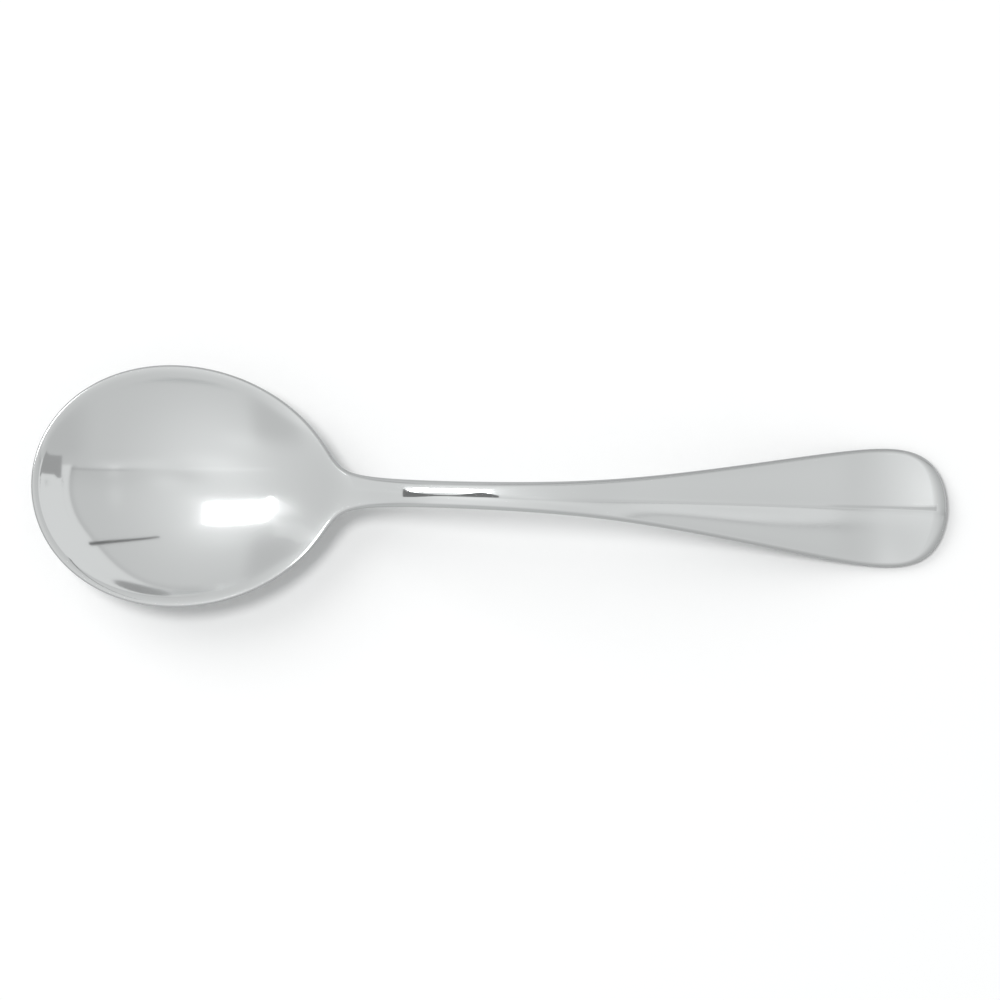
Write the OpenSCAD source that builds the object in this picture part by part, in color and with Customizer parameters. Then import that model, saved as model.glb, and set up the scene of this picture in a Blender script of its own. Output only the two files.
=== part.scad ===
// Soup spoon with a round bowl, a slim arched neck and a flared, ridged handle.
// It is one solid piece of polished steel, forged and pressed from one blank.
// X runs from the bowl's tip to the end of the handle, Y across, Z up.
// It lies as on a table: the bowl's back and the handle's underside both touch Z = 0.

/* [Overall] */
// Length from the bowl's tip to the end of the handle
spoon_l = 175; // [165:1:195]
// Height of the arched handle above the table, along its edge line
arch_h = 20; // [16:0.5:26]

/* [Bowl] */
// Length of the egg outline that the bowl follows
bowl_l = 57.6; // [52:0.2:64]
// Greatest width of the bowl
bowl_w = 46.2; // [40:0.2:52]
// Depth of the hollow below the rim
bowl_depth = 10.2; // [7:0.2:13]
// Wall thickness at the bottom of the bowl
bowl_wall = 1.4; // [1:0.1:2.4]
// Width of the flat land on the rim
rim_w = 1.1; // [0.8:0.1:2]
// Thickness of the rim at its outer edge
rim_t = 0.9; // [0.7:0.1:1.4]
// Radius of the rounding on the rim's outer edge
rim_r = 0.45; // [0.3:0.05:0.7]
// How much fuller the bowl's outline is towards the tip, as a share
egg_share = 0.136; // [0.05:0.01:0.3]
// Reach of the fillet in the outline where the bowl runs into the neck
blend_w = 8.2; // [5:0.2:11]

/* [Neck and handle] */
// Width of the slim neck
neck_w = 3.3; // [2.6:0.1:5]
// Place along the spoon where the handle starts to widen
flare_x = 109.3; // [100:0.5:120]
// Length over which the widening sets in
flare_soft = 4.1; // [2:0.1:8]
// Widening of the handle's half width for each unit of its length, as a share
flare_share = 0.19; // [0.12:0.005:0.24]
// Length over which the handle's end is rounded off
end_soft = 6.2; // [4:0.1:9]
// Edge thickness of the slim neck
neck_t = 1.7; // [1.2:0.1:2.4]
// Edge thickness of the handle's wide end
end_t = 1.3; // [1:0.1:2.4]
// Rise of the neck's rounded top above its edges
crown_h = 0.75; // [0.5:0.05:1.6]
// Depth of the neck's rounded underside below its edges
belly_h = 0.9; // [0.3:0.1:1.6]
// Depth of the handle's slightly rounded back below its edges, where it rests on the table
back_h = 0.4; // [0.2:0.1:0.8]
// Radius of the rounding along the handle's sides
side_r = 0.9; // [0.5:0.05:1.2]
// Reach of the softer rounding at the handle's very end
end_r = 2.6; // [1.2:0.1:3.4]
// Height of the ridge along the middle of the handle
ridge_h = 0.75; // [0.4:0.05:1.6]
// Half width of the ridge's rounded crest
ridge_r = 0.45; // [0.2:0.05:1]

/* [Back of the bowl] */
// Height of the low rib that runs from the neck under the bowl
rib_h = 0.7; // [0.3:0.1:1.2]
// Half width of that rib
rib_w = 1.7; // [1.2:0.1:3]

/* [Hidden] */

// Height of the edge line at even steps along the spoon, as shares of the arch's height.
// The first and last values lie one step beyond the ends and only steer the curve there.
rise_shares = [
    0.745, 0.68, 0.63, 0.585, 0.555, 0.555, 0.595, 0.875, 1.0,
    0.98, 0.84, 0.64, 0.43, 0.23, 0.05, 0.105, 0.135];
// Share of a plain paraboloid in the bowl's form; the rest is flatter below and steeper at the rim
round_share = 0.7;
// How softly the hollow meets the rim, and how softly it fades into the neck, in shares of the hollow
rim_soft_share = 0.05;
neck_soft_share = 0.3;
// How strongly the handle's two flutes curve beside the ridge; above one they are concave
flute_share = 1.8;
// Part of the edge's thickness that the top rounding takes
top_share = 0.55;

// Places along the spoon where one form hands over to the next
hollow_fade = 38;
crown_start = 54;
crown_full = 74;
crown_end = 134;
ridge_start = 80;
ridge_full = 162;
rib_start = 24;
rib_full = 44;
rib_fade = 58;
rib_end = 78;
end_start = 150;
settle_start = 40;

// Shifts of the middle line of the mesh, so that its lines fan out round both ends
tip_fan = 11;
tip_fan_l = 27;
end_fan = 5.5;
end_fan_l = 17;

// Spacing of the mesh
tip_steps = 22;
side_step = 2.6;
end_steps = 14;
tip_zone = 46;
end_zone = 12;
edge_levels = 4;
inner_levels = 8;
sample_step = 1.5;
nudge = 0.05;

// A smooth step from 0 to 1 with level ends
function step_share(t) =
    let (c = min(max(t, 0), 1))
    c * c * c * (10 + c * (6 * c - 15));

// The same step laid between two places
function between(x, from, to) = step_share((x - from) / (to - from));

// The larger of a and b with a rounded corner of size k
function soft_max(a, b, k) = (a + b + sqrt((a - b) * (a - b) + k * k)) / 2;

// Outline: the egg, the stem and their blend, all as squared half widths
egg_peak_share = (sqrt(1 + 3 * egg_share * egg_share) - 1) / (3 * egg_share);
egg_norm_share = (1 - egg_peak_share * egg_peak_share) * (1 + egg_share * egg_peak_share);
bowl_widest = bowl_l * (1 - egg_peak_share) / 2;

function egg_sq(x, l, half_w) =
    let (s = 1 - 2 * x / l)
    half_w * half_w * (1 - s * s) * (1 + egg_share * s) / egg_norm_share;

function stem_half(x) =
    let (r = flare_share * (x - flare_x))
    (neck_w + r + sqrt(r * r + flare_soft * flare_soft)) / 2;

function body_sq(x) =
    let (j = between(x, bowl_widest, bowl_l))
    soft_max(egg_sq(x, bowl_l, bowl_w / 2), stem_half(x) * stem_half(x) * j, blend_w * blend_w * j);

// The same squared half width, never less than a thin wire's, for what is drawn across the spoon
function across_sq(x) = max(body_sq(x), ridge_r * ridge_r);

function outline_sq(x) = body_sq(x) * (1 - exp((x - spoon_l) / end_soft));
function half_width(x) = sqrt(max(outline_sq(x), 0));

// Outward direction of the outline at its upper side
function outline_dir(x) =
    let (a = max(x - nudge, 0), b = min(x + nudge, spoon_l))
    let (g = [(outline_sq(a) - outline_sq(b)) / (b - a) / 2, half_width(x)])
    g / norm(g);

// Edge line of the spoon seen from the side: an even cubic curve through the rise shares
rise_steps = len(rise_shares) - 3;
function edge_z(x) =
    let (t = min(max(x / spoon_l, 0), 1) * rise_steps, i = min(floor(t), rise_steps - 1), f = t - i)
    let (g = 1 - f)
    arch_h / 6 * (
        rise_shares[i] * g * g * g
        + rise_shares[i + 1] * (3 * f * f * f - 6 * f * f + 4)
        + rise_shares[i + 2] * (3 * g * g * g - 6 * g * g + 4)
        + rise_shares[i + 3] * f * f * f);

// Depth of the bowl as a share, from 0 at the rim to 1 in the middle
function hollow_share(f) = f * (2 - round_share - (1 - round_share) * f);

function hollow_at(x, y, l, half_w, start, soft_share) =
    let (f = (egg_sq(x - start, l, half_w) - y * y) / (half_w * half_w))
    hollow_share(soft_max(f, 0, soft_share + (neck_soft_share - soft_share) * between(x, hollow_fade, bowl_l)));

function crown_share(x) = between(x, crown_start, crown_full) * (1 - between(x, crown_full, crown_end));
function ridge_share(x) = between(x, ridge_start, ridge_full);
function back_share(x) = between(x, crown_full, end_start);
function edge_t(x) =
    let (n = rim_t + (neck_t - rim_t) * between(x, bowl_widest, crown_full))
    n + (end_t - neck_t) * back_share(x);

// Height of the upper face before its edges are rounded
function top_z(x, y) =
    let (v2 = min(y * y / across_sq(x), 1))
    let (e = ridge_r / sqrt(across_sq(x)))
    let (u = (sqrt(v2 + e * e) - e) / (sqrt(1 + e * e) - e))
    edge_z(x)
    - bowl_depth * hollow_at(x, y, bowl_l - rim_w, bowl_w / 2 - rim_w, rim_w, rim_soft_share)
    + crown_h * crown_share(x) * (1 - v2)
    + ridge_h * ridge_share(x) * pow(1 - min(u, 1), flute_share);

// Height of the lower face before its edges are rounded
function low_z(x, y) =
    let (v2 = min(y * y / across_sq(x), 1))
    let (rib = between(x, rib_start, rib_full) * (1 - between(x, rib_fade, rib_end)))
    edge_z(x) - edge_t(x)
    - (bowl_depth + bowl_wall - rim_t) * hollow_at(x, y, bowl_l, bowl_w / 2, 0, 0)
    - (belly_h * crown_share(x) + back_h * back_share(x)) * (1 - v2)
    - rib_h * rib * exp(-y * y / (rib_w * rib_w));

// The spoon is let down until the bowl's back and the handle's underside both touch the table
bowl_low = min([for (x = [0 : sample_step : bowl_l]) low_z(x, 0)]);
handle_low = min([for (x = [end_start - end_zone : sample_step : spoon_l - end_r]) low_z(x, 0)]);
function settle(x) = bowl_low + (handle_low - bowl_low) * between(x, settle_start, end_start);

// Reach of the edge rounding: small on the rim, wider along the handle and widest at its end
function edge_r(x) =
    let (s = rim_r + (side_r - rim_r) * between(x, bowl_widest, crown_full))
    s + (end_r - side_r) * pow(max(outline_dir(x)[0], 0), 2) * between(x, end_start, spoon_l);

// Lines of the mesh: places along the spoon, closer together at both ends
line_x = concat(
    [for (i = [0 : tip_steps - 1]) tip_zone * (1 - cos(90 * i / tip_steps))],
    [for (i = [0 : floor((spoon_l - end_zone - tip_zone) / side_step)]) tip_zone + i * side_step],
    [for (i = [1 : end_steps]) spoon_l - end_zone * (1 - sin(90 * i / end_steps))]);
lines = len(line_x);
round_n = 2 * lines - 2;

// The point on the middle line that a mesh line starts from
function middle_x(x) =
    x + tip_fan * pow(max(1 - x / tip_fan_l, 0), 2)
    - end_fan * pow(max((x - spoon_l + end_fan_l) / end_fan_l, 0), 2);

// Level 0 is the outline, the edge levels cross the rounding, the last level is the middle line
levels = edge_levels + inner_levels;

// One point of a face: the mesh line i, its side and the level k, top face when up is 1
function face_point(i, side, k, up) =
    let (x = line_x[i], w = half_width(x), d = outline_dir(x), r = edge_r(x))
    let (a = 90 * min(k, edge_levels) / edge_levels)
    let (reach = r * (1 - cos(a)), lift = 1 - sin(a))
    let (p = [x - d[0] * reach, w - d[1] * reach])
    let (t = max(k - edge_levels, 0) / inner_levels, m = [middle_x(x), 0])
    let (s = 1 - (1 - t) * (1 - t) * (1 - t / 2))
    let (q = p + (m - p) * (k < edge_levels ? 0 : (t + s) / 2))
    let (z = up == 1 ? top_z(q[0], q[1]) - edge_t(q[0]) * top_share * lift
                     : low_z(q[0], q[1]) + edge_t(q[0]) * (1 - top_share) * lift)
    [q[0] - spoon_l / 2, side * q[1], z - settle(q[0])];

// Index of a point: j runs once round the outline, k goes inwards
function turn(j) = (j + round_n) % round_n;
function top_id(j, k) =
    k < levels ? k * round_n + turn(j) : levels * round_n + min(turn(j), round_n - turn(j));
function low_id(j, k) =
    k == 0 ? turn(j)
    : levels * round_n + lines
      + (k < levels ? (k - 1) * round_n + turn(j) : (levels - 1) * round_n + min(turn(j), round_n - turn(j)));

spoon_points = concat(
    [for (k = [0 : levels - 1]) for (j = [0 : round_n - 1])
        face_point(min(j, round_n - j), j < lines ? 1 : -1, k, 1)],
    [for (i = [0 : lines - 1]) face_point(i, 0, levels, 1)],
    [for (k = [1 : levels - 1]) for (j = [0 : round_n - 1])
        face_point(min(j, round_n - j), j < lines ? 1 : -1, k, 0)],
    [for (i = [0 : lines - 1]) face_point(i, 0, levels, 0)]);

// Two triangles for each patch between two lines and two levels; a patch that has closed up gives one
function patch(a, b, c, d) =
    c == d ? [[a, b, c]] : [[a, b, c], [a, c, d]];

spoon_faces = concat(
    [for (k = [0 : levels - 1]) for (j = [0 : round_n - 1])
        each patch(top_id(j, k), top_id(j + 1, k), top_id(j + 1, k + 1), top_id(j, k + 1))],
    [for (k = [0 : levels - 1]) for (j = [0 : round_n - 1])
        each patch(low_id(j + 1, k), low_id(j, k), low_id(j, k + 1), low_id(j + 1, k + 1))]);

module spoon() {
    color("silver")
        polyhedron(points = spoon_points, faces = spoon_faces);
}

spoon();
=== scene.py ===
"""Soup spoon in polished stainless steel, lying on a pale table in soft studio light."""
import bpy
import math
import numpy as np
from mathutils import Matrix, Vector


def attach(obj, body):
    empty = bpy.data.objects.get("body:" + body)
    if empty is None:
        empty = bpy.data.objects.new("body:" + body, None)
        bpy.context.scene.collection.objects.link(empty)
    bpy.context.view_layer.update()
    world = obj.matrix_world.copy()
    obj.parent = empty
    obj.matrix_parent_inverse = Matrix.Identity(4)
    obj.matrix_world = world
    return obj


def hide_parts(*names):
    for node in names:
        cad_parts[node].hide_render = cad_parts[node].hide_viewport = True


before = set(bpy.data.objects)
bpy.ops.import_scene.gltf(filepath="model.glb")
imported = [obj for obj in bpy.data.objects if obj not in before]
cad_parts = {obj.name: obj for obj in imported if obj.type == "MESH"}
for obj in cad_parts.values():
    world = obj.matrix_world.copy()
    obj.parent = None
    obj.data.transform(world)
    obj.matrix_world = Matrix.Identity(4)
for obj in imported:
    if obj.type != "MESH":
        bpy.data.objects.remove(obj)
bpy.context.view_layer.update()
MM = 0.001
QUARTER = math.radians(90.0)

# The spoon's sizes, in millimetres. X runs from the bowl's tip to the handle's end.
SPOON_L = 175.0
ARCH_H = 20.0
# Bowl
BOWL_L = 57.6
BOWL_W = 46.2
BOWL_DEPTH = 10.2
BOWL_WALL = 1.4
EGG_SHARE = 0.136
ROUND_SHARE = 0.7
# Rim
RIM_W = 1.1
RIM_T = 0.9
RIM_R = 0.45
RIM_SOFT_SHARE = 0.076
# Neck, and how the bowl runs into it
NECK_W = 3.3
NECK_T = 1.7
BLEND_W = 8.2
NECK_SOFT_SHARE = 0.3
HOLLOW_FADE = 38.0
# Stem and flared handle
FLARE_X = 109.3
FLARE_SOFT = 4.1
FLARE_SHARE = 0.19
END_T = 1.3
END_SOFT = 6.2
# Rounded top, belly and back
CROWN_H = 0.75
BELLY_H = 0.9
BACK_H = 0.4
CROWN_START, CROWN_FULL, CROWN_END = 54.0, 74.0, 134.0
# Edges
SIDE_R = 0.9
END_R = 2.6
TOP_SHARE = 0.55
# Ridge along the handle
RIDGE_H = 0.75
RIDGE_R = 0.45
FLUTE_SHARE = 1.8
RIDGE_START, RIDGE_FULL = 80.0, 162.0
# Rib under the neck
RIB_H = 0.7
RIB_W = 1.7
RIB_START, RIB_FULL, RIB_FADE, RIB_END = 24.0, 44.0, 58.0, 78.0
# Where the handle's end begins, and where the bowl's let-down starts going over to the handle's
END_START, SETTLE_START = 150.0, 40.0
# Height of the edge line at even places, as shares of the arch; the curve runs close by them
RISE_SHARES = np.array([0.745, 0.68, 0.63, 0.585, 0.555, 0.555, 0.595, 0.875, 1.0,
                        0.98, 0.84, 0.64, 0.43, 0.23, 0.05, 0.105, 0.135])

# How the mesh lines lie, in millimetres, and how many there are
TIP_FAN, TIP_FAN_L, END_FAN, END_FAN_L = 11.0, 27.0, 5.5, 17.0
TIP_ZONE, END_ZONE = 46.0, 12.0
TIP_LINES = 56
SIDE_STEP = 0.8
END_LINES = 36
EDGE_LEVELS = 12
INNER_LEVELS = 60
LEVELS = EDGE_LEVELS + INNER_LEVELS
INNER_EVEN = 0.35
# Steps along X that find the outline's direction and the lowest places
NUDGE = 0.02
SAMPLE_STEP = 1.5


def step(t):
    """A smooth step: 10 t^3 - 15 t^4 + 6 t^5 with t held between 0 and 1."""
    c = np.clip(t, 0.0, 1.0)
    return c * c * c * (10.0 + c * (6.0 * c - 15.0))


def between(x, start, end):
    """The smooth step laid from one place to another, either way round."""
    return step((x - start) / (end - start))


def soft_max(a, b, k):
    """The larger of a and b with a rounded corner: half of a + b + sqrt((a - b)^2 + k^2)."""
    return (a + b + np.sqrt((a - b) ** 2 + k * k)) / 2.0


# Where the egg is widest, with s running from 1 at the tip to -1, and its greatest value there
EGG_PEAK = (math.sqrt(1 + 3 * EGG_SHARE ** 2) - 1) / (3 * EGG_SHARE)
EGG_NORM = (1 - EGG_PEAK ** 2) * (1 + EGG_SHARE * EGG_PEAK)
BOWL_WIDEST = BOWL_L * (1 - EGG_PEAK) / 2


def egg_sq(x, length, half_w):
    """Squared half width of the egg: half_w^2 (1 - s^2)(1 + e s) / norm, s running from 1 to -1."""
    s = 1.0 - 2.0 * x / length
    return half_w ** 2 * (1.0 - s * s) * (1.0 + EGG_SHARE * s) / EGG_NORM


def body_sq(x):
    """Squared half width of bowl and stem: the soft larger of the egg and the widening stem."""
    r = FLARE_SHARE * (x - FLARE_X)
    stem = (NECK_W + r + np.sqrt(r * r + FLARE_SOFT ** 2)) / 2.0
    j = between(x, BOWL_WIDEST, BOWL_L)
    return soft_max(egg_sq(x, BOWL_L, BOWL_W / 2), stem ** 2 * j, BLEND_W ** 2 * j)


def across_sq(x):
    """The same, kept above a thin wire's so that it can be divided by."""
    return np.maximum(body_sq(x), RIDGE_R ** 2)


def outline_sq(x):
    """The outline's squared half width: the body's, closed off by 1 - exp((x - L) / end_soft)."""
    return body_sq(x) * (1.0 - np.exp((x - SPOON_L) / END_SOFT))


def edge_z(x):
    """Height of the edge line: an even cubic B-spline with the rise shares as its control values."""
    n = len(RISE_SHARES) - 3
    t = np.clip(x / SPOON_L, 0.0, 1.0) * n
    i = np.minimum(np.floor(t), n - 1).astype(int)
    f = t - i
    g = 1.0 - f
    return ARCH_H / 6.0 * (RISE_SHARES[i] * g ** 3
                           + RISE_SHARES[i + 1] * (3 * f ** 3 - 6 * f ** 2 + 4)
                           + RISE_SHARES[i + 2] * (3 * g ** 3 - 6 * g ** 2 + 4)
                           + RISE_SHARES[i + 3] * f ** 3)


def hollow(x, y, length, half_w, start, soft):
    """Share of the bowl's depth: h(f) = f (2 - r - (1 - r) f) of f = (egg^2 - y^2) / half_w^2,
    with f's corner at the rim softened, tightly round the bowl and widely towards the neck."""
    f = (egg_sq(x - start, length, half_w) - y * y) / half_w ** 2
    k = soft + (NECK_SOFT_SHARE - soft) * between(x, HOLLOW_FADE, BOWL_L)
    f = soft_max(f, 0.0, k)
    return f * (2.0 - ROUND_SHARE - (1.0 - ROUND_SHARE) * f)


def crown(x):
    """Where the stem is rounded: rises behind the bowl and fades where the handle flares."""
    return between(x, CROWN_START, CROWN_FULL) * (1.0 - between(x, CROWN_FULL, CROWN_END))


def edge_t(x):
    """Thickness of the edge: thin at the rim, thicker along the stem, thinner at the end."""
    t = RIM_T + (NECK_T - RIM_T) * between(x, BOWL_WIDEST, CROWN_FULL)
    return t + (END_T - NECK_T) * between(x, CROWN_FULL, END_START)


def top_z(x, y):
    """Upper face: edge line - depth hollow + crown (1 - v^2) + ridge (1 - u)^flute, where v is the
    share of the way across and u is |v| with a rounded middle."""
    v2 = np.minimum(y * y / across_sq(x), 1.0)
    e = RIDGE_R / np.sqrt(across_sq(x))
    u = (np.sqrt(v2 + e * e) - e) / (np.sqrt(1.0 + e * e) - e)
    inner = hollow(x, y, BOWL_L - RIM_W, BOWL_W / 2 - RIM_W, RIM_W, RIM_SOFT_SHARE)
    ridge = between(x, RIDGE_START, RIDGE_FULL) * (1.0 - np.minimum(u, 1.0)) ** FLUTE_SHARE
    return edge_z(x) - BOWL_DEPTH * inner + CROWN_H * crown(x) * (1.0 - v2) + RIDGE_H * ridge


def low_z(x, y):
    """Lower face: edge line - edge thickness - outer bowl - (belly + back)(1 - v^2)
    - rib exp(-y^2 / w^2)."""
    v2 = np.minimum(y * y / across_sq(x), 1.0)
    outer = hollow(x, y, BOWL_L, BOWL_W / 2, 0.0, 0.0)
    belly = BELLY_H * crown(x) + BACK_H * between(x, CROWN_FULL, END_START)
    rib = between(x, RIB_START, RIB_FULL) * (1.0 - between(x, RIB_FADE, RIB_END))
    return (edge_z(x) - edge_t(x) - (BOWL_DEPTH + BOWL_WALL - RIM_T) * outer
            - belly * (1.0 - v2) - RIB_H * rib * np.exp(-y * y / RIB_W ** 2))


def settle(x):
    """What the raw heights are let down by, so that bowl and handle both touch the table: the
    bowl's lowest height, going over to the handle's by the smooth step between them."""
    a = np.arange(0.0, BOWL_L, SAMPLE_STEP)
    b = np.arange(END_START - END_ZONE, SPOON_L - END_R, SAMPLE_STEP)
    bowl_low = low_z(a, 0.0 * a).min()
    handle_low = low_z(b, 0.0 * b).min()
    return bowl_low + (handle_low - bowl_low) * between(x, SETTLE_START, END_START)


def line_places():
    """Where the mesh lines start along X: closer together at the tip and at the end, by the cosine
    and the sine of an even turn."""
    tip = TIP_ZONE * (1.0 - np.cos(QUARTER * np.arange(TIP_LINES) / TIP_LINES))
    side = np.arange(TIP_ZONE, SPOON_L - END_ZONE, SIDE_STEP)
    turn = QUARTER * np.arange(1, END_LINES + 1) / END_LINES
    end = SPOON_L - END_ZONE * (1.0 - np.sin(turn))
    return np.concatenate([tip, side, end])


def half_grid():
    """One half of the spoon on a grid of levels and lines: places, upper and lower heights,
    distance from the outline, and the turn within the edge rounding, 1 on the outline and 0 on
    the faces. Lines run from the outline along its inward direction through the rounding, whose
    reach is r (1 - cos a) and whose lift is 1 - sin a, and on to a middle line that fans out round
    the tip and the end. Levels lie closer together at the rim and at the ridge:
    share of the way = e t + (1 - e)(3 t^2 - 2 t^3).
    A broad rounding keeps less of its turn: cos a sqrt(side radius / r)."""
    lx = line_places()
    w = np.sqrt(np.maximum(outline_sq(lx), 0.0))
    before = np.maximum(lx - NUDGE, 0.0)
    after = np.minimum(lx + NUDGE, SPOON_L)
    inward = np.stack([(outline_sq(before) - outline_sq(after)) / (after - before) / 2.0, w])
    inward = inward / np.linalg.norm(inward, axis=0)
    r = RIM_R + (SIDE_R - RIM_R) * between(lx, BOWL_WIDEST, CROWN_FULL)
    at_end = np.maximum(inward[0], 0.0) ** 2 * between(lx, END_START, SPOON_L)
    r = r + (END_R - SIDE_R) * at_end
    mid = lx + TIP_FAN * np.maximum(1.0 - lx / TIP_FAN_L, 0.0) ** 2
    mid = mid - END_FAN * np.maximum((lx - SPOON_L + END_FAN_L) / END_FAN_L, 0.0) ** 2
    k = np.arange(LEVELS + 1)[:, None]
    a = QUARTER * np.minimum(k, EDGE_LEVELS) / EDGE_LEVELS
    t = np.maximum(k - EDGE_LEVELS, 0) / INNER_LEVELS
    share = INNER_EVEN * t + (1.0 - INNER_EVEN) * t * t * (3.0 - 2.0 * t)
    px = lx - inward[0] * r * (1.0 - np.cos(a))
    py = w - inward[1] * r * (1.0 - np.cos(a))
    px = px + (mid - px) * share
    py = py * (1.0 - share)
    lift = 1.0 - np.sin(a)
    z_top = top_z(px, py) - edge_t(px) * TOP_SHARE * lift - settle(px)
    z_low = low_z(px, py) + edge_t(px) * (1.0 - TOP_SHARE) * lift - settle(px)
    reach = np.hypot(px - lx, py - w)
    turned = np.cos(a) * np.sqrt(SIDE_R / np.maximum(r, SIDE_R))
    return px, py, z_top, z_low, reach, turned


def spoon_surface():
    """The whole spoon as one closed surface, with the distance from the outline and the turn within
    the rounding for every point. Rings run from the tip to the end and back on the other side. The
    upper and the lower face share the outline, and each has its own middle line."""
    px, py, z_top, z_low, reach, turned = half_grid()
    n = px.shape[1]
    ring = 2 * n - 2
    j = np.arange(ring)
    line = np.minimum(j, ring - j)
    side = np.where(j < n, 1.0, -1.0)

    def face_points(z, first):
        """One face's points: whole rings from the first level on, then its middle line."""
        rows = np.arange(first, LEVELS)
        rings = np.stack([px[rows][:, line], py[rows][:, line] * side, z[rows][:, line]], -1)
        middle = np.stack([px[LEVELS], 0.0 * px[LEVELS], z[LEVELS]], -1)
        return np.concatenate([rings.reshape(-1, 3), middle])

    def face_values(v, first):
        """One number for each of those points, in the same order."""
        return np.concatenate([v[first:LEVELS][:, line].ravel(), v[LEVELS]])

    def quads(ids):
        """The four-sided faces between each ring of point numbers and the next."""
        nxt = np.roll(ids, -1, axis=1)
        return np.stack([ids[:-1], ids[1:], nxt[1:], nxt[:-1]], -1).reshape(-1, 4)

    top = face_points(z_top, 0)
    low = face_points(z_low, 1)
    co = np.concatenate([top, low])
    co[:, 0] -= SPOON_L / 2
    top_rings = np.arange(LEVELS * ring).reshape(LEVELS, ring)
    top_ids = np.concatenate([top_rings, (LEVELS * ring + line)[None]])
    low_rings = len(top) + np.arange((LEVELS - 1) * ring).reshape(LEVELS - 1, ring)
    low_middle = len(top) + (LEVELS - 1) * ring + line
    low_ids = np.concatenate([top_ids[:1], low_rings, low_middle[None]])
    faces = np.concatenate([quads(top_ids), quads(low_ids)[:, ::-1]])
    reach = np.concatenate([face_values(reach, 0), face_values(reach, 1)])
    turned = np.concatenate([face_values(turned, 0), face_values(turned, 1)])
    return co * MM, faces, reach, turned


def mesh_object(name, co, faces, material, smooth=True):
    """A mesh object at the origin from arrays of points and faces."""
    mesh = bpy.data.meshes.new(name)
    mesh.from_pydata(co, [], faces)
    mesh.polygons.foreach_set("use_smooth", np.full(len(mesh.polygons), smooth))
    mesh.materials.append(material)
    mesh.validate()
    mesh.update()
    obj = bpy.data.objects.new(name, mesh)
    bpy.context.scene.collection.objects.link(obj)
    return obj


def put_values(obj, name, values):
    """One number for every point of a mesh, for its material to read."""
    attribute = obj.data.attributes.new(name, "FLOAT", "POINT")
    attribute.data.foreach_set("value", values.astype(np.float32))


class Nodes:
    """Short hand for building one node tree."""

    def __init__(self, tree):
        self.tree = tree
        tree.nodes.clear()

    def add(self, kind, **props):
        """A new node with these properties."""
        node = self.tree.nodes.new(kind)
        for key, value in props.items():
            setattr(node, key, value)
        return node

    def link(self, a, b):
        self.tree.links.new(a, b)

    def math(self, op, a, b=None, clamp=False):
        """The result of a math node on numbers or sockets."""
        node = self.add("ShaderNodeMath", operation=op, use_clamp=clamp)
        for slot, value in zip(node.inputs, (a, b)):
            if value is None:
                continue
            if isinstance(value, (int, float)):
                slot.default_value = value
            else:
                self.link(value, slot)
        return node.outputs[0]


def new_material(name):
    """A material that holds nothing but its output, its nodes, and that output's surface socket."""
    mat = bpy.data.materials.new(name)
    mat.use_nodes = True
    n = Nodes(mat.node_tree)
    return mat, n, n.add("ShaderNodeOutputMaterial").inputs["Surface"]


# What polished steel gives back of white light, and the share of it taken off the colour towards the
# outline as painted shade, standing in for the shadowed table that the rounded edges reflect
STEEL = (0.590, 0.604, 0.604)
EDGE_PAINTED_SHADE = 0.43
# Roughness of the bare polish, and of the wear within so many millimetres of the edge
POLISH_ROUGH = 0.02
WEAR_REACH, WEAR_ROUGH = 1.6, 0.05
# Wide haze: patches to the metre, detail and roughness
HAZE_SCALE, HAZE_DETAIL, HAZE_ROUGH = 55.0, 5.0, 0.07
# Hair marks, long along X: marks to the metre each way, detail, roughness, bump, depth in metres
HAIR_STRETCH = (60.0, 3200.0, 3200.0)
HAIR_DETAIL, HAIR_ROUGH = 3.0, 0.05
HAIR_BUMP, HAIR_DEPTH = 0.06, 0.00002


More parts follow.
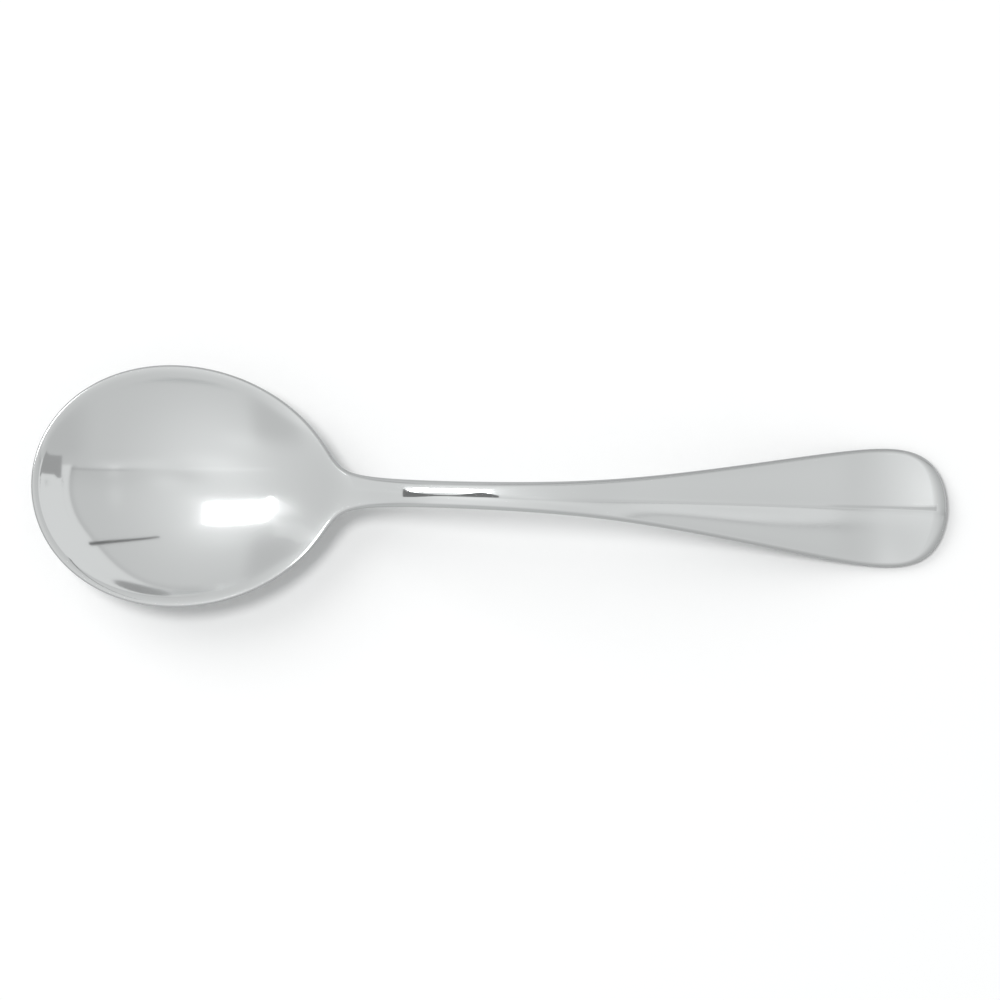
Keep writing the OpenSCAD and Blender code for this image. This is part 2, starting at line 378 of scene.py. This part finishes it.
def polished_steel():
    """Stainless steel after the polishing wheel: a clear mirror with faint haze and hair marks, its
    colour darkened towards the outline as painted shade.
    Roughness = polish + haze + hair marks + wear (1 - distance from the edge / reach)."""
    mat, n, surface = new_material("polished_steel")
    steel = n.add("ShaderNodeBsdfPrincipled")
    steel.inputs["Metallic"].default_value = 1.0
    # Painted shade: the colour is darkened by the turn within the edge rounding, standing in for the
    # dark reflection along the edges
    shade_at_edge = n.add("ShaderNodeAttribute", attribute_name="edge_turn")
    painted_shade = n.math("MULTIPLY", shade_at_edge.outputs["Fac"], EDGE_PAINTED_SHADE)
    tint = n.add("ShaderNodeVectorMath", operation="SCALE")
    tint.inputs[0].default_value = STEEL
    n.link(n.math("SUBTRACT", 1.0, painted_shade), tint.inputs["Scale"])
    n.link(tint.outputs["Vector"], steel.inputs["Base Color"])
    place = n.add("ShaderNodeTexCoord").outputs["Object"]
    haze = n.add("ShaderNodeTexNoise", noise_dimensions="3D")
    haze.inputs["Scale"].default_value = HAZE_SCALE
    haze.inputs["Detail"].default_value = HAZE_DETAIL
    n.link(place, haze.inputs["Vector"])
    stretch = n.add("ShaderNodeMapping")
    stretch.inputs["Scale"].default_value = HAIR_STRETCH
    n.link(place, stretch.inputs["Vector"])
    hair = n.add("ShaderNodeTexNoise", noise_dimensions="3D")
    hair.inputs["Scale"].default_value = 1.0
    hair.inputs["Detail"].default_value = HAIR_DETAIL
    n.link(stretch.outputs["Vector"], hair.inputs["Vector"])
    edge = n.add("ShaderNodeAttribute", attribute_name="edge_mm")
    away = n.math("DIVIDE", edge.outputs["Fac"], WEAR_REACH)
    wear = n.math("MULTIPLY", n.math("SUBTRACT", 1.0, away, clamp=True), WEAR_ROUGH)
    clouds = n.math("MULTIPLY", haze.outputs["Fac"], HAZE_ROUGH)
    marks = n.math("MULTIPLY", hair.outputs["Fac"], HAIR_ROUGH)
    rough = n.math("ADD", n.math("ADD", clouds, marks), wear)
    n.link(n.math("ADD", rough, POLISH_ROUGH), steel.inputs["Roughness"])
    bump = n.add("ShaderNodeBump")
    bump.inputs["Strength"].default_value = HAIR_BUMP
    bump.inputs["Distance"].default_value = HAIR_DEPTH
    n.link(hair.outputs["Fac"], bump.inputs["Height"])
    n.link(bump.outputs["Normal"], steel.inputs["Normal"])
    n.link(steel.outputs["BSDF"], surface)
    return mat


def emitter(name, strength):
    """The face of a plain sheet that glows white, for the studio."""
    mat, n, surface = new_material(name)
    glow = n.add("ShaderNodeEmission")
    glow.inputs["Strength"].default_value = strength
    n.link(glow.outputs["Emission"], surface)
    return mat


def reflected_only(obj, mat):
    """Leaves a glowing sheet of the studio to be seen in the steel alone."""
    obj.visible_camera = False
    obj.visible_diffuse = False
    obj.visible_shadow = False
    obj.visible_transmission = False
    mat.cycles.emission_sampling = "NONE"


def direction(ax, ay):
    """Unit vector seen at ax, ay degrees from the zenith, on a map whose radius is the angle."""
    a = math.radians(math.hypot(ax, ay))
    t = math.atan2(ay, ax)
    return Vector((math.sin(a) * math.cos(t), math.sin(a) * math.sin(t), math.cos(a)))


def bell(t):
    """exp(-t^2 / 2)."""
    return np.exp(-t * t / 2.0)


def spot(mx, my, at, wide):
    """A soft round patch, 1 in its middle: the bells of both offsets over their half widths."""
    return bell((mx - at[0]) / wide[0]) * bell((my - at[1]) / wide[1])


def soft_edge(inside, soft):
    """The smooth step across an edge, half way up on the edge itself: step(inside / soft + 1/2)."""
    return step(inside / soft + 0.5)


# What the steel reflects. Places are degrees from the zenith along X and Y, on a map whose radius
# is the angle; amounts are shares of the white that the tent's cloth would show in full light.
# A pair of places is where something begins and where it is there in full.

# The key light's rectangle, how far its corners and sides bend, and its halo's reach each way
KEY_X0, KEY_X1 = -43.9, -9.6
KEY_Y0, KEY_Y1 = 9.9, 25.0
KEY_LIFT, KEY_TAPER = 1.0, 0.5
KEY_BITE, KEY_PEAK = 2.0, 4.0
KEY_SLANT, KEY_BULGE = 3.6, 1.5
KEY_HALO = 0.42
HALO_LEFT, HALO_RIGHT, HALO_BELOW, HALO_ABOVE = 3.0, 6.0, 3.0, 6.5

# The cloth, its broad glow, and soft patches of more or less light: amount, middle, half widths
CLOTH = 0.86
GLOW = 0.31
GLOW_AT = (-19.0, -5.0)
GLOW_LEFT, GLOW_RIGHT, GLOW_UP = 22.0, 28.0, 46.0
PATCHES = [
    (0.10, (-14.0, -16.0), (11.0, 5.0)),
    (0.08, (-22.0, 38.0), (10.0, 7.0)),
    (-0.10, (-1.5, -7.0), (6.5, 4.0)),
    (0.11, (36.5, -12.7), (3.5, 1.6)),
    (0.06, (36.5, -7.5), (3.5, 2.3)),
    (0.06, (35.0, 7.0), (3.5, 7.0)),
    (0.35, (-47.0, 16.0), (3.3, 4.5)),
    (0.07, (-30.0, -37.0), (8.0, 6.0)),
    (0.09, (8.0, -3.0), (6.0, 4.0)),
]
# The corners where the cloth hangs further off
LEFT_DIM, LEFT_DIM_X, LEFT_DIM_Y = 0.14, (-30.0, -42.0), (24.0, 52.0)
RIGHT_DIM, RIGHT_DIM_X, RIGHT_DIM_Y = 0.09, (45.0, 75.0), (-5.0, -35.0)

# The seam, a shallow parabola: its dim side, light side, bright thread and dark thread
SEAM_Y, SEAM_X, SEAM_BEND = -10.9, 25.0, 0.00112
SEAM_W = 0.8
SEAM_DIM, SEAM_DIM_EDGE, SEAM_DIM_REACH, SEAM_DIM_X = 0.07, 1.2, 9.0, (-12.0, 13.0)
SEAM_LIGHT, SEAM_LIGHT_OFF, SEAM_LIGHT_REACH = 0.07, 3.0, 3.0
SEAM_LIGHT_LEFT, SEAM_LIGHT_RIGHT = (0.0, 20.0), (60.0, 40.0)
SEAM_GLINT, SEAM_GLINT_LEFT, SEAM_GLINT_RIGHT = 0.10, (-50.0, -30.0), (20.0, -10.0)
SEAM_DARK, SEAM_DARK_OFF, SEAM_DARK_X = 0.14, 0.3, (8.0, 38.0)
SEAM_KNOT_X, SEAM_KNOT_W, SEAM_KNOT_DARK, SEAM_KNOT_THIN = 36.0, 3.0, 0.18, 0.6

# The fold beyond the key light: its side and top with their softness, its foot, its light face
FOLD_X, FOLD_X_SOFT, FOLD_Y, FOLD_Y_SOFT, FOLD_FOOT = -44.3, 1.4, 39.5, 2.0, (22.0, 30.0)
FOLD_LIGHT, FOLD_LIGHT_X, FOLD_LIGHT_REACH = 0.11, -47.0, 6.0

# The pale wall: its edge's polar angle, the azimuths over which this rises, and where it stands
WALL_TOP, WALL_RISE, WALL_TURN = 68.6, 18.4, (30.0, 100.0)
WALL_X, WALL_Y = (-18.0, -10.0), (-17.0, -14.0)
WALL_TONE, WALL_SOFT = 1.06, 1.8
WALL_LINE, WALL_LINE_OFF, WALL_LINE_W = 0.08, 1.5, 1.5

# The gap in the wall, and the cut of its low corner
GAP_X, GAP_Y0, GAP_Y1 = 74.0, -23.5, -4.2
GAP_CUT, GAP_CUT_X = 3.0, (77.0, 81.0)
GAP_SOFT, GAP_TONE = 1.5, 0.53

# The rod
ROD_FROM, ROD_TO = (12.0, 37.3), (52.0, 50.3)
ROD_THIN, ROD_THICK, ROD_SOFT, ROD_TONE = 0.7, 1.6, 0.8, 0.18


def cloth_tone(mx, my):
    """Bare cloth: an even tone, a broad glow round the zenith, soft patches, two dim corners."""
    wide = np.where(mx < GLOW_AT[0], GLOW_LEFT, GLOW_RIGHT)
    tone = CLOTH + GLOW * spot(mx, my, GLOW_AT, (wide, GLOW_UP))
    for amount, at, half in PATCHES:
        tone = tone + amount * spot(mx, my, at, half)
    tone = tone - LEFT_DIM * between(mx, *LEFT_DIM_X) * between(np.abs(my), *LEFT_DIM_Y)
    return tone - RIGHT_DIM * between(mx, *RIGHT_DIM_X) * between(my, *RIGHT_DIM_Y)


def key_halo(mx, my):
    """The key light's halo: amount exp(-d), d the distance from its rectangle over the reach."""
    dx = np.maximum(KEY_X0 - mx, 0.0) / HALO_LEFT + np.maximum(mx - KEY_X1, 0.0) / HALO_RIGHT
    dy = np.maximum(KEY_Y0 - my, 0.0) / HALO_BELOW + np.maximum(my - KEY_Y1, 0.0) / HALO_ABOVE
    return KEY_HALO * np.exp(-np.hypot(dx, dy))


def seam_tone(mx, my):
    """The seam's part: dimmer cloth on one side, lighter on the other, a bright thread towards the
    key light and a dark one further on, which is thinner and darker round one knot."""
    off = my - SEAM_Y + SEAM_BEND * (mx - SEAM_X) ** 2
    dim = soft_edge(off, SEAM_DIM_EDGE) * bell(off / SEAM_DIM_REACH) * between(mx, *SEAM_DIM_X)
    light = bell((off + SEAM_LIGHT_OFF) / SEAM_LIGHT_REACH)
    light = light * between(mx, *SEAM_LIGHT_LEFT) * between(mx, *SEAM_LIGHT_RIGHT)
    glint = bell(off / SEAM_W) * between(mx, *SEAM_GLINT_LEFT) * between(mx, *SEAM_GLINT_RIGHT)
    knot = bell((mx - SEAM_KNOT_X) / SEAM_KNOT_W)
    thin = SEAM_W * (1.0 - SEAM_KNOT_THIN * knot)
    dark = (SEAM_DARK + SEAM_KNOT_DARK * knot) * bell((off - SEAM_DARK_OFF) / thin)
    return (SEAM_LIGHT * light + SEAM_GLINT * glint - SEAM_DIM * dim
            - dark * between(mx, *SEAM_DARK_X))


def fold_tone(mx, my):
    """The part of the fold of cloth beyond the key light, whose face is lighter."""
    face = soft_edge(FOLD_X - mx, FOLD_X_SOFT) * soft_edge(FOLD_Y - my, FOLD_Y_SOFT)
    face = face * between(my, *FOLD_FOOT)
    return FOLD_LIGHT * face * bell((mx - FOLD_LIGHT_X) / FOLD_LIGHT_REACH)


def with_wall(tone, mx, my):
    """The tone with the pale wall laid over it, whose edge runs level and then sinks towards the
    horizon, with a dim line before it."""
    azimuth = np.degrees(np.arctan2(my, mx))
    beyond = np.hypot(mx, my) - WALL_TOP - WALL_RISE * between(azimuth, *WALL_TURN)
    there = between(mx, *WALL_X) * between(my, *WALL_Y)
    tone = tone + (WALL_TONE - tone) * soft_edge(beyond, WALL_SOFT) * there
    return tone - WALL_LINE * bell((beyond + WALL_LINE_OFF) / WALL_LINE_W) * there


def with_gap(tone, mx, my):
    """The tone with the wall's gap laid over it, with straight sides and one cut corner."""
    low_side = GAP_Y1 - GAP_CUT * between(mx, *GAP_CUT_X)
    gap = soft_edge(my - GAP_Y0, GAP_SOFT) * soft_edge(low_side - my, GAP_SOFT)
    return tone + (GAP_TONE - tone) * gap * between(mx, GAP_X, GAP_X + GAP_SOFT)


def with_rod(tone, mx, my):
    """The tone with the thin rod laid over it, thicker towards its far end: a line whose half
    width runs from thin to thick with the share of the way along it."""
    rx = ROD_TO[0] - ROD_FROM[0]
    ry = ROD_TO[1] - ROD_FROM[1]
    dx = mx - ROD_FROM[0]
    dy = my - ROD_FROM[1]
    along = np.clip((dx * rx + dy * ry) / (rx * rx + ry * ry), 0.0, 1.0)
    off = np.hypot(dx - rx * along, dy - ry * along)
    half = ROD_THIN + (ROD_THICK - ROD_THIN) * along
    return tone + (ROD_TONE - tone) * soft_edge(half - off, ROD_SOFT)


def tent_tone(mx, my):
    """Brightness of the light tent seen mx, my degrees from the zenith: cloth, halo, seam and fold
    added up, then the wall, its gap and the rod laid over them, and never below 0."""
    tone = cloth_tone(mx, my) + key_halo(mx, my) + seam_tone(mx, my) + fold_tone(mx, my)
    tone = with_wall(tone, mx, my)
    tone = with_gap(tone, mx, my)
    return np.maximum(with_rod(tone, mx, my), 0.0)


# Radius of the tent in metres, its rings and their points, and the first ring's polar angle
TENT_R, TENT_RINGS, TENT_POINTS, TENT_FIRST = 5.0, 260, 720, 0.2
# The key light's distance in metres, and its brightness
KEY_R, KEY_STRENGTH = 4.6, 11.0
# The dark edge along the table: azimuths, distance and heights in metres, blunt ends, tone
SHELF_TURN, SHELF_R, SHELF_H = (70.5, 98.0), 0.5, (0.058, 0.036)
SHELF_BLUNT, SHELF_COLUMNS, SHELF_TONE = 0.3, 60, 0.48

# The small cards over the neck, in millimetres and degrees
CARD_Z, CARD_TILT = 25.1, 15.0
FLAG_X0, FLAG_X1 = -25.8, 0.6
FLAG_BASE, FLAG_LEFT, FLAG_REACH = -0.6, 5.7, 3.2
FLAG_RIGHT, FLAG_KNOT, FLAG_WIDE = 4.3, -4.3, 2.9
FLAG_LOW, FLAG_STEP, FLAG_STEP_L = -1.7, 2.2, 13.0
FLAG_COLUMNS, FLAG_TONE = 80, 0.27
PALE_X0, PALE_Y0, PALE_Y1, PALE_TONE = -37.2, 1.5, 15.0, 1.0
# The soft-edged film over the handle's end
FILM_X0, FILM_X1, FILM_Y0, FILM_Y1 = 74.6, 87.0, -2.6, 4.9
FILM_Z, FILM_TILT, FILM_TONE = 21.8, 7.0, 0.79
FILM_FAR, FILM_NEAR, FILM_FADE, FILM_CELLS = 3.6, 2.7, 5.4, 32


def tent():
    """The light tent: a half sphere, radius (sin a cos t, sin a sin t, cos a) on a grid of polar
    angle a and turn t, with its tone on the points and a small round cap at the top."""
    t = np.radians(np.linspace(0.0, 360.0, TENT_POINTS, endpoint=False))[None, :]
    a = np.radians(np.linspace(TENT_FIRST, 90.0, TENT_RINGS))[:, None]
    co = np.stack([np.sin(a) * np.cos(t), np.sin(a) * np.sin(t), np.cos(a) + 0.0 * t], -1)
    polar = np.degrees(a)
    tone = tent_tone(polar * np.cos(t), polar * np.sin(t))
    ids = np.arange(TENT_RINGS * TENT_POINTS).reshape(TENT_RINGS, TENT_POINTS)
    nxt = np.roll(ids, -1, axis=1)
    quads = np.stack([ids[:-1], nxt[:-1], nxt[1:], ids[1:]], -1).reshape(-1, 4)
    cap = [tuple(ids[0][::-1].tolist())]
    mat, n, surface = new_material("tent_cloth")
    glow = n.add("ShaderNodeEmission")
    att = n.add("ShaderNodeAttribute", attribute_name="tone")
    n.link(att.outputs["Fac"], glow.inputs["Strength"])
    n.link(glow.outputs["Emission"], surface)
    obj = mesh_object("tent", co.reshape(-1, 3) * TENT_R, quads.tolist() + cap, mat)
    put_values(obj, "tone", tone.ravel())
    reflected_only(obj, mat)


def key_light():
    """The key light as the steel shows it: a flat sheet with a corner in each named direction."""
    corners = [(KEY_X1, KEY_Y0 + KEY_LIFT),
               (KEY_X0 + KEY_PEAK, KEY_Y0),
               (KEY_X0 + KEY_BITE, KEY_Y0 - KEY_PEAK),
               (KEY_X0, KEY_Y0),
               (KEY_X0 + KEY_SLANT, KEY_Y1),
               ((KEY_X0 + KEY_X1) / 2, KEY_Y1 + KEY_BULGE),
               (KEY_X1 - KEY_TAPER, KEY_Y1)]
    co = np.array([list(direction(*c) * KEY_R) for c in corners])
    glow = emitter("key_glow", KEY_STRENGTH)
    obj = mesh_object("key_light", co, [tuple(range(len(corners)))], glow, smooth=False)
    reflected_only(obj, glow)


def strip_quads(count):
    """Faces between two rows of points, one row stored after the other."""
    i = np.arange(count - 1)
    return np.stack([i, i + 1, i + 1 + count, i + count], -1).tolist()


def dark_shelf():
    """A low dark edge far along the table, which only the steepest part of the rim shows: an arc
    whose height runs from one value to the other, times sin(pi share of the way)^blunt, and one
    millimetre more."""
    t = np.radians(np.linspace(*SHELF_TURN, SHELF_COLUMNS))
    ends = np.sin(np.linspace(0.0, math.pi, SHELF_COLUMNS)) ** SHELF_BLUNT
    tall = np.linspace(*SHELF_H, SHELF_COLUMNS) * ends + MM
    foot = np.stack([SHELF_R * np.cos(t), SHELF_R * np.sin(t), 0.0 * t], -1)
    head = np.stack([SHELF_R * np.cos(t), SHELF_R * np.sin(t), tall], -1)
    glow = emitter("shelf_dark", SHELF_TONE)
    co = np.concatenate([foot, head])
    obj = mesh_object("dark_shelf", co, strip_quads(SHELF_COLUMNS), glow, smooth=False)
    reflected_only(obj, glow)


def rising(x, start, low, tilt):
    """Height of a card that the bowl sees edge on: low + (x - start) tan(tilt)."""
    return low + (x - start) * math.tan(math.radians(tilt))


def card(name, x, near, far, tone):
    """A small card over the neck between two edges, given as Y against X in millimetres."""
    z = rising(x, FLAG_X0, CARD_Z, CARD_TILT)
    co = np.concatenate([np.stack([x, near, z], -1), np.stack([x, far, z], -1)]) * MM
    glow = emitter(name + "_face", tone)
    obj = mesh_object(name, co, strip_quads(len(x)), glow, smooth=False)
    reflected_only(obj, glow)


def dark_flag():
    """The dark card that cuts a bow-shaped piece out of the key light's streak.
    Far edge: base + left e^(-x / reach) + right bell(x). Near edge: low - step towards the bowl."""
    x = np.linspace(FLAG_X0, FLAG_X1, FLAG_COLUMNS)
    far = FLAG_BASE + FLAG_LEFT * np.exp(-(x - FLAG_X0) / FLAG_REACH)
    far = far + FLAG_RIGHT * bell((x - FLAG_KNOT) / FLAG_WIDE)
    near = FLAG_LOW - FLAG_STEP * (1.0 - step((x - FLAG_X0) / FLAG_STEP_L))
    card("dark_flag", x, near, far, FLAG_TONE)


def pale_flag():
    """The pale card beside it, which keeps the key light off the root of the neck."""
    x = np.array([PALE_X0, FLAG_X0])
    card("pale_flag", x, 0.0 * x + PALE_Y0, 0.0 * x + PALE_Y1, PALE_TONE)


def grey_film():
    """The film over the handle's end, which draws the soft dark line along the top of the ridge.
    Its cover fades in along X and out to both sides:
    step((x - x0) / fade) step((y - y0) / near) step((y1 - y) / far)."""
    x, y = np.meshgrid(np.linspace(FILM_X0, FILM_X1, FILM_CELLS),
                       np.linspace(FILM_Y0, FILM_Y1, FILM_CELLS))
    cover = step((x - FILM_X0) / FILM_FADE)
    cover = cover * step((y - FILM_Y0) / FILM_NEAR) * step((FILM_Y1 - y) / FILM_FAR)
    z = rising(x, FILM_X0, FILM_Z, FILM_TILT)
    ids = np.arange(x.size).reshape(x.shape)
    quads = np.stack([ids[:-1, :-1], ids[:-1, 1:], ids[1:, 1:], ids[1:, :-1]], -1).reshape(-1, 4)
    mat, n, surface = new_material("grey_film")
    glow = n.add("ShaderNodeEmission")
    glow.inputs["Strength"].default_value = FILM_TONE
    clear = n.add("ShaderNodeBsdfTransparent")
    att = n.add("ShaderNodeAttribute", attribute_name="cover")
    mix = n.add("ShaderNodeMixShader")
    n.link(att.outputs["Fac"], mix.inputs[0])
    n.link(clear.outputs[0], mix.inputs[1])
    n.link(glow.outputs[0], mix.inputs[2])
    n.link(mix.outputs[0], surface)
    co = np.stack([x, y, z], -1).reshape(-1, 3) * MM
    obj = mesh_object("grey_film", co, quads.tolist(), mat, smooth=False)
    put_values(obj, "cover", cover.ravel())
    reflected_only(obj, mat)


# The table's white and half width in metres
TABLE_WHITE, TABLE_HALF = 0.97, 6.0
# The room's light on the table, its colour, and the plain grey that camera and steel would see
ROOM_LIGHT, ROOM_TINT, ROOM_GREY = 0.53, (0.985, 1.0, 1.0, 1.0), (0.8, 0.8, 0.8, 1.0)
# The lamps: distance in metres, then degrees from the zenith, size in metres and watts
LAMP_R = 3.0
STEEP_AT, STEEP_SIZE, STEEP_WATTS = (-14.0, 9.0), 0.72, 33.5
SIDE_AT, SIDE_SIZE, SIDE_WATTS = (-41.0, 33.0), 2.0, 28.0
# The camera: height, the height it frames, the frame's width and turn, its middle as frame shares
CAMERA_H, FRAMED_H, FRAME_W = 2.0, 0.010, 0.19094
FRAME_TURN = math.radians(1.741)
FRAME_X, FRAME_Y = 0.0101, -0.0038
SENSOR_W, CLIP_NEAR, CLIP_FAR = 36.0, 0.01, 50.0


def lamp(name, at, size, watts):
    """A round soft lamp for the table's shadows; the steel shows the key light in its place."""
    light = bpy.data.lights.new(name, "AREA")
    light.shape = "DISK"
    light.size = size
    light.energy = watts
    obj = bpy.data.objects.new(name, light)
    bpy.context.scene.collection.objects.link(obj)
    obj.location = direction(*at) * LAMP_R
    obj.rotation_euler = direction(*at).to_track_quat("Z", "Y").to_euler()
    obj.visible_glossy = False
    obj.visible_camera = False


def white_table():
    """The table's flat top."""
    mat, n, surface = new_material("table_white")
    white = n.add("ShaderNodeBsdfDiffuse")
    white.inputs["Color"].default_value = (TABLE_WHITE, TABLE_WHITE, TABLE_WHITE, 1.0)
    n.link(white.outputs["BSDF"], surface)
    s = TABLE_HALF
    co = np.array([[-s, -s, 0], [s, -s, 0], [s, s, 0], [-s, s, 0]])
    floor = mesh_object("table", co, [(0, 1, 2, 3)], mat, smooth=False)


def white_room():
    """The room: plain pale grey to the camera and in the steel, an even soft light for the rest."""
    world = bpy.data.worlds.new("white_room")
    bpy.context.scene.world = world
    world.use_nodes = True
    n = Nodes(world.node_tree)
    out = n.add("ShaderNodeOutputWorld")
    room = n.add("ShaderNodeBackground")
    room.inputs["Color"].default_value = ROOM_TINT
    room.inputs["Strength"].default_value = ROOM_LIGHT
    seen = n.add("ShaderNodeBackground")
    seen.inputs["Color"].default_value = ROOM_GREY
    seen.inputs["Strength"].default_value = 1.0
    path = n.add("ShaderNodeLightPath").outputs
    through = n.math("MAXIMUM", path["Is Glossy Ray"], path["Is Transmission Ray"])
    mix = n.add("ShaderNodeMixShader")
    n.link(n.math("MAXIMUM", path["Is Camera Ray"], through), mix.inputs[0])
    n.link(room.outputs[0], mix.inputs[1])
    n.link(seen.outputs[0], mix.inputs[2])
    n.link(mix.outputs[0], out.inputs["Surface"])


def photo_camera():
    """The camera straight above at the photo's turn: lens = sensor (height - framed) / frame."""
    cam = bpy.data.cameras.new("camera")
    obj = bpy.data.objects.new("camera", cam)
    bpy.context.scene.collection.objects.link(obj)
    bpy.context.scene.camera = obj
    cam.sensor_width = SENSOR_W
    cam.lens = SENSOR_W * (CAMERA_H - FRAMED_H) / FRAME_W
    cam.clip_start = CLIP_NEAR
    cam.clip_end = CLIP_FAR
    obj.location = (FRAME_X * FRAME_W, FRAME_Y * FRAME_W, CAMERA_H)
    obj.rotation_euler = (0.0, 0.0, FRAME_TURN)


# The spoon
steel = polished_steel()
co, faces, reach, turned = spoon_surface()
spoon = mesh_object("spoon_polished", co, faces.tolist(), steel)
put_values(spoon, "edge_mm", reach)
# The turn within the rounding drives the painted shade along the edges
put_values(spoon, "edge_turn", turned)
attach(spoon, "root")
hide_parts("spoon")

# The studio
white_table()
white_room()
tent()
key_light()
dark_shelf()
dark_flag()
pale_flag()
grey_film()
lamp("steep_lamp", STEEP_AT, STEEP_SIZE, STEEP_WATTS)
lamp("side_lamp", SIDE_AT, SIDE_SIZE, SIDE_WATTS)
photo_camera()
bpy.context.scene.view_settings.view_transform = "Standard"
